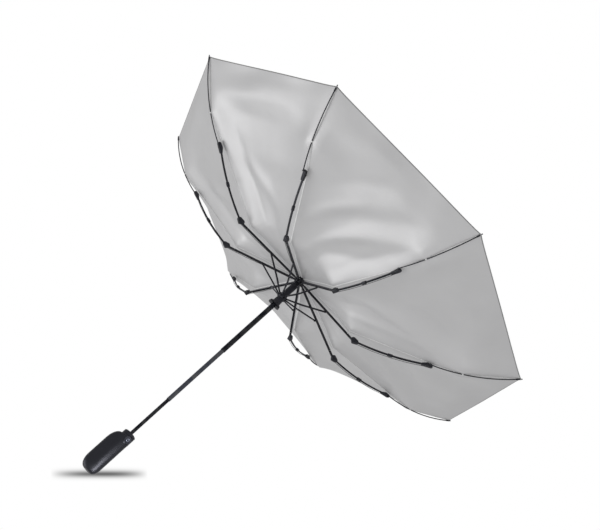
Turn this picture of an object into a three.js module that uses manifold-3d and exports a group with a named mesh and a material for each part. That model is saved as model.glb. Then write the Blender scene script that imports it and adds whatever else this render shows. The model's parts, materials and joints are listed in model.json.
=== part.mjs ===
// A compact three-fold automatic umbrella with eight ribs, open, its outer ribs blown up past the crown.
// Millimetres. +Z runs along the shaft from the handle's end, at the origin, to the crown.
import * as THREE from 'three';
import { mergeVertices } from 'three/addons/utils/BufferGeometryUtils.js';
import Module from 'manifold-3d';

const wasm = await Module();
wasm.setup();

// Driving dimensions.
const RIBS = 8;
const CROWN_HEIGHT = 585; // the rib roots' pivot plane, above the handle's end
const GAP = 0.3; // running clearance between neighbours

// Rib chain, as (distance from the shaft axis, height above the crown's pivot plane).
const ROOT = [8, 0];
const ELBOW = [177.7, -31.6];
const KNEE = [325.1, 22];
const TIP = [486, 118.6];
const STRETCHER_PIN = [89.4, -18.1];
const RUNNER_PIN = [8.9, -51];
const INNER_DROP = 2.1; // the inner rib's centre line passes this far under the elbow pin
const MIDDLE_BOW = 5.7;
const OUTER_BOW = 11.3;
const BRACKET_PITCH = 8; // pin to pin in both kinds of bracket
const ELBOW_TILT = 10; // degrees, the elbow bracket above level
const KNEE_TILT = 16; // degrees, the outer bracket above level

// Sideways lanes, so that folded ribs pass each other.
const STRETCHER_LANE = 3.55;
const OUTER_BRACKET_LANE = -2.6;
const OUTER_RIB_LANE = -4.75;

// Sections of the ribs. A tongue is the thinner end that enters a slot or a bracket.
const INNER_RIB = { width: 3.8, height: 3.6, wall: 0.8, tongue: 2, eye: 2 };
const STRETCHER = { width: 2.6, height: 2.8, tongue: 2, eye: 2.1 };
const MIDDLE_RIB = { width: 3.2, height: 3, tongue: 1.8, collar: 8 };
const OUTER_RIB = { radius: 1.15, eye: 2, sleeve: 1.7, sleeveLength: 9 };
const RIVET = 1; // radius of a rivet head
const WIRE = 0.4; // radius of the wire rings in the crown and the runner
const WIRE_HOLE = 0.8; // radius of the hole that turns on a wire ring

// Shaft tubes, as heights below the crown's pivot plane.
const OUTER_TUBE = { radius: 5.25, bore: 4.7, top: 1.5, bottom: -227 };
const MIDDLE_TUBE = { radius: 4.4, bore: 3.9, top: -203, bottom: -378 };
const INNER_TUBE = { radius: 3.6, bore: 3, top: -352, bottom: -555 };

// Handle, as heights above its end.
const HANDLE = { height: 107, neck: 13.5, side: 13.2, reach: 26.8, shoulder: 96, azimuth: -20 };
const BUTTON = { radius: 8.3, seat: 8.2, face: 11.9, height: 93, azimuth: 100 };

const degrees = Math.PI / 180;

// Solids: closed meshes from three.js geometry, joined and cut.

function solid(geometry) {
  const bare = geometry.clone();
  bare.deleteAttribute('normal');
  bare.deleteAttribute('uv');
  const merged = mergeVertices(bare, 1e-4);
  const vertProperties = Float32Array.from(merged.attributes.position.array);
  const triVerts = Uint32Array.from(merged.index.array);
  return new wasm.Manifold(new wasm.Mesh({ numProp: 3, vertProperties, triVerts }));
}

function geometryOf(manifold) {
  const mesh = manifold.getMesh();
  const geometry = new THREE.BufferGeometry();
  geometry.setAttribute('position', new THREE.BufferAttribute(mesh.vertProperties, 3));
  geometry.setIndex(new THREE.BufferAttribute(mesh.triVerts, 1));
  return geometry;
}

function join(parts) {
  return parts.reduce((whole, part) => whole.add(part));
}

function block(from, to) {
  const size = to.map((high, i) => high - from[i]);
  const geometry = new THREE.BoxGeometry(...size);
  geometry.translate(...from.map((low, i) => low + size[i] / 2));
  return solid(geometry);
}

// A round bar along Y, centred on (x, z), from one Y to another.
function barAcross(x, z, radius, from, to, sides = 12) {
  const geometry = new THREE.CylinderGeometry(radius, radius, to - from, sides);
  geometry.translate(0, (from + to) / 2, 0);
  geometry.rotateY(Math.PI / sides);
  geometry.translate(x, 0, z);
  return solid(geometry);
}

function revolve(profile, segments = 32) {
  const points = profile.map(([radius, height]) => new THREE.Vector2(radius, height));
  const geometry = new THREE.LatheGeometry(points, segments);
  geometry.rotateX(Math.PI / 2);
  return solid(geometry);
}

// An outline in the plane of a rib, X outwards and Z up, given a thickness across it.
function plate(outline, from, to) {
  const shape = new THREE.Shape(outline.map(([x, z]) => new THREE.Vector2(x, z)));
  const geometry = new THREE.ExtrudeGeometry(shape, { depth: to - from, bevelEnabled: false });
  geometry.rotateX(Math.PI / 2);
  geometry.translate(0, to, 0);
  return solid(geometry);
}

// An outline seen from above, X outwards and Y across, given a height.
function slab(outline, from, to) {
  const shape = new THREE.Shape(outline.map(([x, y]) => new THREE.Vector2(x, y)));
  const geometry = new THREE.ExtrudeGeometry(shape, { depth: to - from, bevelEnabled: false });
  geometry.translate(0, 0, from);
  return solid(geometry);
}

// Plane geometry of the rib chain.

const along = ([x, z], angle, forward, lift = 0) => [
  x + forward * Math.cos(angle) - lift * Math.sin(angle),
  z + forward * Math.sin(angle) + lift * Math.cos(angle),
];
const direction = (from, to) => Math.atan2(to[1] - from[1], to[0] - from[0]);
const distance = (from, to) => Math.hypot(to[0] - from[0], to[1] - from[1]);

// Points on the flat arc that sags by bow under the chord between two points.
function arcPoints(from, to, bow, steps) {
  const angle = direction(from, to);
  const length = distance(from, to);
  const points = [];
  for (let i = 0; i <= steps; i += 1) {
    const t = i / steps;
    points.push(along(from, angle, t * length, -4 * bow * t * (1 - t)));
  }
  return points;
}

// The band of a given height that follows a line of points.
function band(points, height) {
  const upper = [];
  const lower = [];
  points.forEach((point, i) => {
    const before = points[Math.max(i - 1, 0)];
    const after = points[Math.min(i + 1, points.length - 1)];
    const angle = direction(before, after);
    upper.push(along(point, angle, 0, height / 2));
    lower.unshift(along(point, angle, 0, -height / 2));
  });
  return [...lower, ...upper].reverse();
}

const innerAngle = direction(ROOT, ELBOW) - Math.asin(INNER_DROP / distance(ROOT, ELBOW));
const elbowAngle = ELBOW_TILT * degrees;
const kneeAngle = KNEE_TILT * degrees;
const MIDDLE_PIN = along(ELBOW, elbowAngle, BRACKET_PITCH, -INNER_DROP);
const OUTER_PIN = along(KNEE, kneeAngle, BRACKET_PITCH);

// A piece drawn straight along X from the origin, turned to its angle and carried to its pin.
function posed(manifold, pin, angle) {
  return manifold.rotate([0, -angle / degrees, 0]).translate([pin[0], 0, pin[1]]);
}

// Rib pieces, each in the plane of rib 1 with the crown's pivot plane at Z = 0.

// An upturned channel with a thin tongue at each end.
function innerRib() {
  const { width, height, wall, tongue, eye } = INNER_RIB;
  const length = Math.sqrt(distance(ROOT, ELBOW) ** 2 - INNER_DROP ** 2);
  const channelStart = 9;
  const channelEnd = length - 3.6;
  const top = height / 2;
  const root = 1.6;
  const side = tongue / 2;
  const outerSide = side - 0.1;
  const rib = join([
    block([0, -side, -root], [channelStart + 1, side, root]),
    barAcross(0, 0, root + 0.1, -side, side),
    block([channelStart, -width / 2, -top], [channelEnd, width / 2, top]),
    block([channelEnd - 1, -outerSide, -top], [length, outerSide, top - GAP]),
    barAcross(length, INNER_DROP, eye, -outerSide, outerSide),
    block([length - eye, -outerSide, -top], [length + 1, outerSide, INNER_DROP]),
  ]);
  const trough = block(
    [channelStart + 4, -width / 2 + wall, -top - 1],
    [channelEnd - 5, width / 2 - wall, top - wall],
  );
  return posed(rib.subtract(trough).subtract(wireHole(tongue)), ROOT, innerAngle);
}

function wireHole(tongue) {
  return barAcross(0, 0, WIRE_HOLE, -tongue, tongue, 8);
}

// An arm that leaves its slot in the middle and swings out into the lane beside the inner rib.
function stretcher() {
  const { width, height, tongue, eye } = STRETCHER;
  const length = distance(RUNNER_PIN, STRETCHER_PIN);
  const [near, far] = [STRETCHER_LANE - width / 2, STRETCHER_LANE + width / 2];
  const end = length + 1.5;
  const outline = [
    [0, -tongue / 2], [8, -tongue / 2], [36, near], [end, near],
    [end, far], [32, far], [6, tongue / 2], [0, tongue / 2],
  ];
  const arm = join([
    slab(outline, -height / 2, height / 2),
    barAcross(0, 0, 1.5, -tongue / 2, tongue / 2),
    barAcross(length, 0, eye, near, far),
    barAcross(length, 0, RIVET, STRETCHER_LANE, far + 0.3),
  ]);
  return posed(arm.subtract(wireHole(tongue)), RUNNER_PIN, direction(RUNNER_PIN, STRETCHER_PIN));
}

// Two cheeks over the inner rib's eye and the middle rib's root, joined by a web and a heel.
function elbowBracket() {
  const inside = 1.2;
  const outside = 2.6;
  const round = 2.6;
  const deep = -6;
  const end = BRACKET_PITCH + 3;
  const cheek = [[0, -round], [3, deep], [end - 2, deep], [end, -3.6], [end, -0.1], [0, -0.1]];
  const sides = [[-outside, -inside], [inside, outside]].flatMap(([from, to]) => [
    plate(cheek, from, to),
    barAcross(0, 0, round, from, to),
  ]);
  const pins = [[0, 0], [BRACKET_PITCH, -INNER_DROP]];
  const heads = pins.map(([x, z]) => barAcross(x, z, RIVET, outside - 0.5, outside + 0.5, 8));
  const web = block([3.4, -outside + 0.2, deep + 0.5], [5.4, outside - 0.2, -0.4]);
  return posed(join([...sides, ...heads, web]), ELBOW, elbowAngle);
}

// A bowed bar, thin at its root, with a collar half way that carries the canopy's tie.
function middleRib() {
  const { width, height, tongue, collar } = MIDDLE_RIB;
  const steps = 10;
  const points = arcPoints(MIDDLE_PIN, KNEE, MIDDLE_BOW, steps);
  const start = direction(points[0], points[1]);
  const middle = steps / 2;
  const slope = direction(points[middle - 1], points[middle + 1]);
  const [half, high, wide] = [collar / 2, height / 2 + 0.8, width / 2 + 0.6];
  const rootCut = [[-width, -tongue / 2], [tongue / 2, width]].map(([from, to]) => {
    return posed(block([-5, from, -5], [4, to, 5]), MIDDLE_PIN, start);
  });
  return join([
    plate(band(points, height), -width / 2, width / 2),
    barAcross(MIDDLE_PIN[0], MIDDLE_PIN[1], 1.7, -tongue / 2, tongue / 2),
    barAcross(KNEE[0], KNEE[1], 1.9, -width / 2, width / 2),
    posed(block([-half, -wide, -high], [half, wide, high]), points[middle], slope),
  ]).subtract(join(rootCut));
}

// One cheek on the side of the middle rib's end, with a short tail that carries the link wire.
function outerBracket() {
  const half = 0.7;
  const from = OUTER_BRACKET_LANE - half;
  const to = OUTER_BRACKET_LANE + half;
  const outline = [
    [-3.4, -1.4], [-1.5, -3.4], [BRACKET_PITCH + 2, -2.6], [BRACKET_PITCH + 4, -1],
    [BRACKET_PITCH + 4, 1], [BRACKET_PITCH + 2, 2.4], [-1, 2.8], [-3.4, 1.4],
  ];
  return posed(plate(outline.reverse(), from, to), KNEE, kneeAngle);
}

class PlaneArc extends THREE.Curve {
  constructor(from, to, bow, side) {
    super();
    Object.assign(this, { from, to, bow, side });
  }

  getPoint(t, target = new THREE.Vector3()) {
    const angle = direction(this.from, this.to);
    const lift = -4 * this.bow * t * (1 - t);
    const [x, z] = along(this.from, angle, t * distance(this.from, this.to), lift);
    return target.set(x, this.side, z);
  }
}

// A thin bowed rod with an eye at its root and a sleeve near its tip.
function outerRib() {
  const { radius, eye, sleeve, sleeveLength } = OUTER_RIB;
  const steps = 12;
  const curve = new PlaneArc(OUTER_PIN, TIP, OUTER_BOW, OUTER_RIB_LANE);
  const circle = new THREE.Shape();
  circle.absarc(0, 0, radius, 0, 2 * Math.PI);
  const rod = new THREE.ExtrudeGeometry(circle, {
    steps, curveSegments: 4, bevelEnabled: false, extrudePath: curve,
  });
  const points = arcPoints(OUTER_PIN, TIP, OUTER_BOW, steps);
  const cup = new THREE.CylinderGeometry(sleeve, sleeve, sleeveLength, 8);
  cup.rotateZ(-Math.PI / 2);
  cup.translate(-3 - sleeveLength / 2, OUTER_RIB_LANE, 0);
  return join([
    solid(rod),
    posed(solid(cup), TIP, direction(points[steps - 1], points[steps])),
    barAcross(OUTER_PIN[0], OUTER_PIN[1], eye, OUTER_RIB_LANE - radius, OUTER_RIB_LANE + radius),
  ]);
}

// Hubs, with the crown's pivot plane at Z = 0.

// Radial slots, one for each rib, cut where the pins sit.
function slots(width, from, to, low, high) {
  const cutters = [];
  for (let i = 0; i < RIBS; i += 1) {
    const slot = block([from, -width / 2, low], [to, width / 2, high]);
    cutters.push(slot.rotate([0, 0, (i * 360) / RIBS]));
  }
  return join(cutters);
}

function wireRing(radius, wire) {
  const points = [];
  const sides = 6;
  for (let i = 0; i <= sides; i += 1) {
    const angle = (i * 2 * Math.PI) / sides;
    points.push([radius + wire * Math.cos(angle), wire * Math.sin(angle)]);
  }
  return revolve(points, 24);
}

const HUB_BORE = OUTER_TUBE.radius + GAP;
const SLOT = 2.8; // width of the radial slots that the tongues turn in

function crown() {
  const body = revolve([
    [HUB_BORE, -5], [9, -5], [10, -4], [10, 3.2], [9, 4], [3, 4], [3, 2], [HUB_BORE, 2], [HUB_BORE, -5],
  ]);
  const groove = revolve([[7.2, -0.8], [8.8, -0.8], [8.8, 5], [7.2, 5], [7.2, -0.8]]);
  return body.subtract(slots(SLOT, 6, 12, -6, 5)).subtract(groove);
}

function ferruleCap() {
  return revolve([
    [0, 4.3], [4.5, 4.3], [4.5, 10.6], [9.5, 10.6], [9.5, 12], [8, 14.6], [4.5, 16.2], [0, 16.6],
  ], 24);
}

function runner() {
  const pin = RUNNER_PIN[1];
  const body = revolve([
    [HUB_BORE, pin - 24], [9.2, pin - 24], [8.4, pin - 12], [8, pin - 6], [11.2, pin - 4], [11.2, pin + 2.4],
    [10.4, pin + 3.2], [7.25, pin + 3.4], [7.25, pin + 38], [6.6, pin + 39], [HUB_BORE, pin + 39],
    [HUB_BORE, pin - 24],
  ]);
  const groove = revolve([
    [8.1, pin - 0.8], [9.7, pin - 0.8], [9.7, pin + 6], [8.1, pin + 6], [8.1, pin - 0.8],
  ]);
  const lobes = [0, 180].map((turn) => {
    const lobe = new THREE.CylinderGeometry(5.2, 6.6, 6, 16);
    lobe.rotateX(Math.PI / 2);
    lobe.translate(7.4, 0, pin - 24);
    return solid(lobe).rotate([0, 0, turn + 160]);
  });
  const bore = revolve([[0, pin - 40], [HUB_BORE, pin - 40], [HUB_BORE, pin + 45], [0, pin + 45]], 32);
  return body
    .subtract(slots(SLOT, 7.4, 14, pin - 5, pin + 5))
    .subtract(groove)
    .add(join(lobes))
    .subtract(bore);
}

function runnerWire() {
  return wireRing(RUNNER_PIN[0], WIRE).translate([0, 0, RUNNER_PIN[1]]);
}

function tube({ radius, bore, top, bottom }) {
  return revolve([[bore, bottom], [radius, bottom], [radius, top], [bore, top], [bore, bottom]], 20);
}

// Drive spring, coiled inside the lowest tube.
const SPRING = { foot: 40, length: 150, turns: 16, radius: 2.1, wire: 0.45 };

class Helix extends THREE.Curve {
  getPoint(t, target = new THREE.Vector3()) {
    const { foot, length, turns, radius } = SPRING;
    const angle = t * turns * 2 * Math.PI;
    return target.set(radius * Math.cos(angle), radius * Math.sin(angle), foot + length * t);
  }
}

function driveSpring() {
  const wire = new THREE.Shape();
  wire.absarc(0, 0, SPRING.wire, 0, 2 * Math.PI);
  return solid(new THREE.ExtrudeGeometry(wire, {
    steps: 8 * SPRING.turns, curveSegments: 2, bevelEnabled: false, extrudePath: new Helix(),
  }));
}

// Handle: a long oval body that reaches out to one side of the shaft, under a round neck.

// The quarter-round rise from 0 at the foot to 1 at a given height.
function quarterRound(height, rise) {
  return Math.sqrt(1 - Math.max(0, 1 - height / rise) ** 2);
}

// Cosine or sine pushed outwards, which squares off an ellipse a little.
function squarer(value) {
  return Math.sign(value) * Math.abs(value) ** 0.8;
}

function handleBody() {
  const { shoulder, side, reach } = HANDLE;
  const shoulderStart = 66;
  const geometry = new THREE.CylinderGeometry(1, 1, 1, 28, 16);
  const position = geometry.attributes.position;
  for (let i = 0; i < position.count; i += 1) {
    const x = position.getX(i);
    const z = position.getZ(i);
    const turn = Math.atan2(-z, x);
    const fill = Math.hypot(x, z);
    const height = (shoulder * (1 - Math.cos(Math.PI * (position.getY(i) + 0.5)))) / 2;
    const foot = quarterRound(height, 17);
    const slope = Math.max(0, (height - shoulderStart) / (shoulder - shoulderStart));
    const bulge = side + (reach - side) * Math.sqrt(Math.max(0, 1 - slope ** 2.4));
    const right = bulge * (0.48 + 0.52 * quarterRound(height, 24));
    const left = side * (0.3 + 0.7 * foot);
    const deep = side * (0.42 + 0.58 * foot);
    const across = (right - left) / 2 + (fill * (right + left) * squarer(Math.cos(turn))) / 2;
    position.setXYZ(i, across, fill * deep * squarer(Math.sin(turn)), height);
  }
  return solid(geometry);
}

function handleGrip() {
  const { height, neck, azimuth } = HANDLE;
  const edge = 1.2;
  const boreFoot = 28;
  const boreRadius = INNER_TUBE.radius + GAP;
  const neckSolid = revolve([
    [0, 40], [neck, 60], [neck, height - edge], [neck - edge, height], [0, height],
  ]);
  const bore = revolve([
    [0, boreFoot], [boreRadius, boreFoot], [boreRadius, height + 5], [0, height + 5],
  ], 20);
  const pocket = buttonDisc(BUTTON.radius + GAP, BUTTON.seat - GAP, BUTTON.face + 8);
  return handleBody().rotate([0, 0, azimuth]).add(neckSolid).subtract(bore).subtract(pocket);
}

// A disc whose axis points outwards from the shaft through the push button.
function buttonDisc(radius, from, to) {
  const disc = new THREE.CylinderGeometry(radius, radius, to - from, 24);
  disc.rotateZ(-Math.PI / 2);
  disc.translate((from + to) / 2, 0, BUTTON.height);
  return solid(disc).rotate([0, 0, BUTTON.azimuth]);
}

function pushButton() {
  const { radius, seat, face } = BUTTON;
  const travel = 2;
  const dish = { radius: 18, depth: 0.7 };
  const cap = buttonDisc(radius, seat + travel, face);
  const thumb = new THREE.SphereGeometry(dish.radius, 24, 12);
  thumb.translate(face + dish.radius - dish.depth, 0, BUTTON.height);
  return cap.subtract(solid(thumb).rotate([0, 0, BUTTON.azimuth]));
}

// Canopy: one eight-sided sheet, open at the ferrule, that clears the ribs and meets them at the tips.
function canopy() {
  const thickness = 0.5;
  const rodClearance = 2.4;
  const tie = [386.7, 48.6];
  const angle = direction(OUTER_PIN, TIP);
  const length = distance(OUTER_PIN, TIP);
  const overRod = [0.45, 0.6, 0.75, 0.88, 0.955].map((t) => {
    return along(OUTER_PIN, angle, t * length, rodClearance - 4 * OUTER_BOW * t * (1 - t));
  });
  const under = [[7.5, 8.4], [30, 7], [90, -1.5], [160, -20], [270, 14], tie, ...overRod];
  const over = under.map(([radius, height]) => [radius, height + thickness]).reverse();
  return revolve([...under, ...over, under[0]], RIBS).rotate([0, 0, 360 / RIBS]);
}

// Materials and assembly.

function finish(color, roughness, metalness) {
  return new THREE.MeshStandardMaterial({ color, roughness, metalness });
}

const blackSteel = finish(0x1d1e22, 0.42, 0.8);
const blackPlastic = finish(0x17181b, 0.5, 0);
const softTouch = finish(0x26272b, 0.62, 0);
const gunmetal = finish(0x4a4c52, 0.3, 0.9);
const springSteel = finish(0x9a9ca0, 0.35, 1);
const silverFabric = finish(0xb4b5b8, 0.5, 0.3);
silverFabric.side = THREE.DoubleSide;
const buttonFinish = finish(0x3a3b40, 0.4, 0.2);

const object = new THREE.Group();
const crownGroup = new THREE.Group();
crownGroup.position.z = CROWN_HEIGHT;
object.add(crownGroup);

function place(group, name, manifold, material) {
  const mesh = new THREE.Mesh(geometryOf(manifold), material);
  mesh.name = name;
  group.add(mesh);
}

place(object, 'handle_grip', handleGrip(), softTouch);
place(object, 'push_button', pushButton(), buttonFinish);
place(object, 'drive_spring', driveSpring(), springSteel);
place(crownGroup, 'outer_tube', tube(OUTER_TUBE), blackSteel);
place(crownGroup, 'middle_tube', tube(MIDDLE_TUBE), gunmetal);
place(crownGroup, 'inner_tube', tube(INNER_TUBE), blackSteel);
place(crownGroup, 'crown', crown(), blackPlastic);
place(crownGroup, 'crown_wire', wireRing(ROOT[0], WIRE), springSteel);
place(crownGroup, 'ferrule_cap', ferruleCap(), blackPlastic);
place(crownGroup, 'runner', runner(), blackPlastic);
place(crownGroup, 'runner_wire', runnerWire(), springSteel);
place(crownGroup, 'canopy', canopy(), silverFabric);

const ribPieces = [
  ['inner_rib', innerRib(), blackSteel],
  ['stretcher', stretcher(), blackSteel],
  ['elbow_bracket', elbowBracket(), blackPlastic],
  ['middle_rib', middleRib(), blackSteel],
  ['outer_bracket', outerBracket(), blackPlastic],
  ['outer_rib', outerRib(), blackSteel],
];

for (let i = 0; i < RIBS; i += 1) {
  const spoke = new THREE.Group();
  spoke.rotation.z = (i * 2 * Math.PI) / RIBS;
  crownGroup.add(spoke);
  for (const [name, manifold, material] of ribPieces) {
    place(spoke, `${name}_${i + 1}`, manifold, material);
  }
}

export default object;
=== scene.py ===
"""A compact umbrella, blown inside out: its looks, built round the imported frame. Metres, +Z up the shaft."""
import json
import math
from collections import namedtuple
import bmesh
import bpy
import numpy as np
from mathutils import Matrix, Vector


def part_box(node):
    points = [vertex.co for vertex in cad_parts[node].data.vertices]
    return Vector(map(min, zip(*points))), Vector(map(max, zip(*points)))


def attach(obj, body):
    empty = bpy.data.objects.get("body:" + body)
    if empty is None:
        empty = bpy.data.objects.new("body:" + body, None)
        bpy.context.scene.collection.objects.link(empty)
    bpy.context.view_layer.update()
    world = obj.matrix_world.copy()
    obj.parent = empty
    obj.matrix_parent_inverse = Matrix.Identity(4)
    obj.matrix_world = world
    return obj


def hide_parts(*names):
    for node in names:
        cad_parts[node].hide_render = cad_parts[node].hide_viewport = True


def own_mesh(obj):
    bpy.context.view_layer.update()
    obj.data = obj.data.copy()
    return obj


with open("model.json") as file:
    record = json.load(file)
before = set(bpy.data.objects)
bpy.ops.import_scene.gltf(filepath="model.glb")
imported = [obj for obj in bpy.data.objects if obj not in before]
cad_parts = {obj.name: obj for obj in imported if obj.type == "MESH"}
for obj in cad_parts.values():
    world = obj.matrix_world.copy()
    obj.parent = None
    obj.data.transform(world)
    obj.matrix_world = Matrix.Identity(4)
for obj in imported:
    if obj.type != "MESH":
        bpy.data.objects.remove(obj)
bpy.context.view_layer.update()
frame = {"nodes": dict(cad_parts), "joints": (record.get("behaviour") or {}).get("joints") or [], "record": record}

# Places that the frame gives: the pins of rib 1, which lies along +X, and the ends of its outer rod.
RIBS = 8
pins = {joint["name"]: Vector(joint["pos_m"]) for joint in frame["joints"] if "pos_m" in joint}
CROWN = pins["inner_rib_pivot_1"].z
ELBOW = pins["elbow_fold_1"]
MIDDLE_PIN = pins["wind_flip"]
KNEE = pins["knee_fold_1"]
OUTER_PIN = pins["outer_flip_1"]
rod_low, rod_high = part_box("outer_rib_1")
ROD_LANE = (rod_low.y + rod_high.y) / 2
TIP = Vector((rod_high.x, 0, rod_high.z))
ROD_BOW = 0.0113  # how far the rod and the middle rib stand off their chords
MIDDLE_BOW = 0.0057
ROD_RADIUS = 0.00115

MM = 0.001
SECTOR = 2 * math.pi / RIBS
HALF = SECTOR / 2


# Camera, at the photograph's viewing angle, and the directions it defines.

CAMERA = {  # angles in degrees, lens and sensor in millimetres, and metres from the crown
    "azimuth": 71.47, "elevation": -25.09, "roll": 48.21, "lens": 69.6, "sensor": 36,
    "distance": 2.4245, "right": 0.0021, "up": 0.0352,
}


def camera_axes():
    """Right, up and back of the camera, in the frame."""
    azimuth, elevation, roll = (math.radians(CAMERA[key]) for key in ("azimuth", "elevation", "roll"))
    back = Vector((
        math.cos(azimuth) * math.cos(elevation), math.sin(azimuth) * math.cos(elevation), math.sin(elevation),
    ))
    level = Vector((0, 0, 1)).cross(back).normalized()
    rise = back.cross(level)
    right = level * math.cos(roll) + rise * math.sin(roll)
    return right, back.cross(right), back


RIGHT, UP, BACK = camera_axes()


def turned(right, up, back):
    """The turn that points an object's X, Y and Z along three directions."""
    return Matrix((right, up, back)).transposed().to_4x4()


def added(name, data):
    """A new object in the scene."""
    made = bpy.data.objects.new(name, data)
    bpy.context.scene.collection.objects.link(made)
    return made


def make_camera():
    data = bpy.data.cameras.new("camera")
    data.lens = CAMERA["lens"]
    data.sensor_width = CAMERA["sensor"]
    data.clip_start = 0.05
    camera = added("camera", data)
    place = Vector((0, 0, CROWN)) + BACK * CAMERA["distance"] + RIGHT * CAMERA["right"] + UP * CAMERA["up"]
    camera.matrix_world = Matrix.Translation(place) @ turned(RIGHT, UP, BACK)
    bpy.context.scene.camera = camera


# Node trees.

class Tree:
    """The node tree of a material or a world, with short calls to add and link nodes."""

    def __init__(self, owner):
        owner.use_nodes = True
        self.owner = owner
        self.nodes = owner.node_tree.nodes
        self.links = owner.node_tree.links
        self.nodes.clear()

    def add(self, kind, inputs=None, **settings):
        node = self.nodes.new(kind)
        for key, value in settings.items():
            setattr(node, key, value)
        for key, value in (inputs or {}).items():
            if isinstance(value, bpy.types.NodeSocket):
                self.links.new(value, node.inputs[key])
            else:
                node.inputs[key].default_value = value
        return node

    def math(self, operation, first, second=0.0):
        return self.add("ShaderNodeMath", {0: first, 1: second}, operation=operation).outputs[0]

    def product(self, *factors):
        """All the factors multiplied together."""
        total = factors[0]
        for factor in factors[1:]:
            total = self.math("MULTIPLY", total, factor)
        return total

    def vector(self, operation, first, second=(0, 0, 0)):
        """The number that a vector operation gives."""
        node = self.add("ShaderNodeVectorMath", {0: first, 1: second}, operation=operation)
        return node.outputs["Value"]

    def ramp(self, value, low, high, start=0.0, end=1.0):
        """value carried from low..high to start..end, held at the ends."""
        node = self.add("ShaderNodeMapRange", {
            "Value": value, "From Min": low, "From Max": high, "To Min": start, "To Max": end,
        })
        return node.outputs[0]

    def mix(self, factor, first, second):
        """A colour from first to second; inputs 0, 6 and 7 of the node are its factor and its colours."""
        return self.add("ShaderNodeMix", {0: factor, 6: first, 7: second}, data_type="RGBA").outputs[2]

    def noise(self, vector, scale, detail=3.0, roughness=0.5):
        inputs = {"Vector": vector, "Scale": scale, "Detail": detail, "Roughness": roughness}
        return self.add("ShaderNodeTexNoise", inputs).outputs["Fac"]

    def bump(self, height, strength, distance, normal=None):
        inputs = {"Height": height, "Strength": strength, "Distance": distance}
        if normal is not None:
            inputs["Normal"] = normal
        return self.add("ShaderNodeBump", inputs).outputs["Normal"]

    def finish(self, shader):
        """The material, once its last shader node is linked."""
        self.add("ShaderNodeOutputMaterial", {"Surface": shader.outputs[0]})
        return self.owner


def grey(level):
    return (level, level, level, 1.0)


def silver(level):
    return (level * 1.001, level * 0.998, level * 1.008, 1.0)


def blue_black(level):
    return (level * 0.82, level * 0.9, level * 1.2, 1.0)


def new_material(name):
    return Tree(bpy.data.materials.new(name))


# Materials.

GLOSS_TINT = (0.86, 0.87, 1.0, 1.0)  # highlights of the dark surfaces are a little blue
WEAVE = 0.0005  # distance between the threads of the canopy


def hard_material(name, base, worn, roughness, metallic, grain, relief):
    """A dark moulded or painted surface: fine grain, uneven gloss, and edges rubbed a little lighter."""
    tree = new_material(name)
    place = tree.add("ShaderNodeTexCoord").outputs["Object"]
    fine = tree.noise(place, grain, 4.0)
    broad = tree.noise(place, 60.0, 2.0)
    pointed = tree.add("ShaderNodeNewGeometry").outputs["Pointiness"]
    edge = tree.product(tree.ramp(pointed, 0.52, 0.62), tree.ramp(broad, 0.35, 0.65), 0.7)
    shader = tree.add("ShaderNodeBsdfPrincipled", {
        "Base Color": tree.mix(edge, blue_black(base), grey(worn)), "Metallic": metallic,
        "Roughness": tree.ramp(broad, 0.3, 0.7, roughness - 0.06, roughness + 0.06),
        "Specular Tint": GLOSS_TINT, "Normal": tree.bump(fine, relief, 0.00005),
    })
    return tree.finish(shader)


def fabric_material():
    """Silver-coated woven lining below, plain grey weave above."""
    tree = new_material("canopy_silver")
    split = tree.add("ShaderNodeSeparateXYZ", {"Vector": tree.add("ShaderNodeTexCoord").outputs["UV"]})
    warp = tree.math("SINE", tree.product(split.outputs[0], 2 * math.pi / WEAVE))
    weft = tree.math("SINE", tree.product(split.outputs[1], 2 * math.pi / WEAVE))
    place = tree.add("ShaderNodeTexCoord").outputs["Object"]
    broad = tree.ramp(tree.noise(place, 9.0, 3.0), 0.3, 0.7)
    crumple = tree.noise(place, 55.0, 3.0, 0.55)
    outside = tree.add("ShaderNodeAttribute", attribute_name="outside").outputs["Fac"]
    lining = tree.mix(broad, silver(0.595), silver(0.635))
    cover = tree.mix(broad, grey(0.33), grey(0.37))
    normal = tree.bump(crumple, 0.03, 0.002)
    normal = tree.bump(tree.product(warp, weft), 0.12, 0.00006, normal)
    shader = tree.add("ShaderNodeBsdfPrincipled", {
        "Base Color": tree.mix(outside, lining, cover), "Roughness": tree.ramp(crumple, 0.3, 0.7, 0.43, 0.47),
        "Metallic": tree.math("SUBTRACT", 0.34, tree.product(outside, 0.29)),
        "Sheen Weight": 0.15, "Sheen Roughness": 0.4, "Normal": normal,
    })
    return tree.finish(shader)


make_camera()

# Dark surfaces: level of the base and of its rubbed edges, roughness, metallic, grain and the grain's relief.
SURFACES = {
    "soft_touch": (0.006, 0.010, 0.34, 0.0, 1500.0, 0.01),
    "button": (0.02, 0.05, 0.4, 0.0, 900.0, 0.1),
    "shaft_black": (0.02, 0.08, 0.28, 1.0, 90.0, 0.0),
    "shaft_gunmetal": (0.09, 0.16, 0.34, 1.0, 90.0, 0.0),
    "spring_steel": (0.45, 0.6, 0.3, 1.0, 500.0, 0.05),
    "black_plastic": (0.006, 0.03, 0.45, 0.0, 800.0, 0.2),
    "rib_steel": (0.006, 0.04, 0.38, 0.3, 600.0, 0.05),
    "rod": (0.006, 0.03, 0.40, 0.1, 600.0, 0.05),
}
blacks = {name: hard_material(name, *values) for name, values in SURFACES.items()}
fabric = fabric_material()

CREASE = math.radians(35)  # a CAD edge that turns more than this stays sharp
WELD = 1e-6


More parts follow.
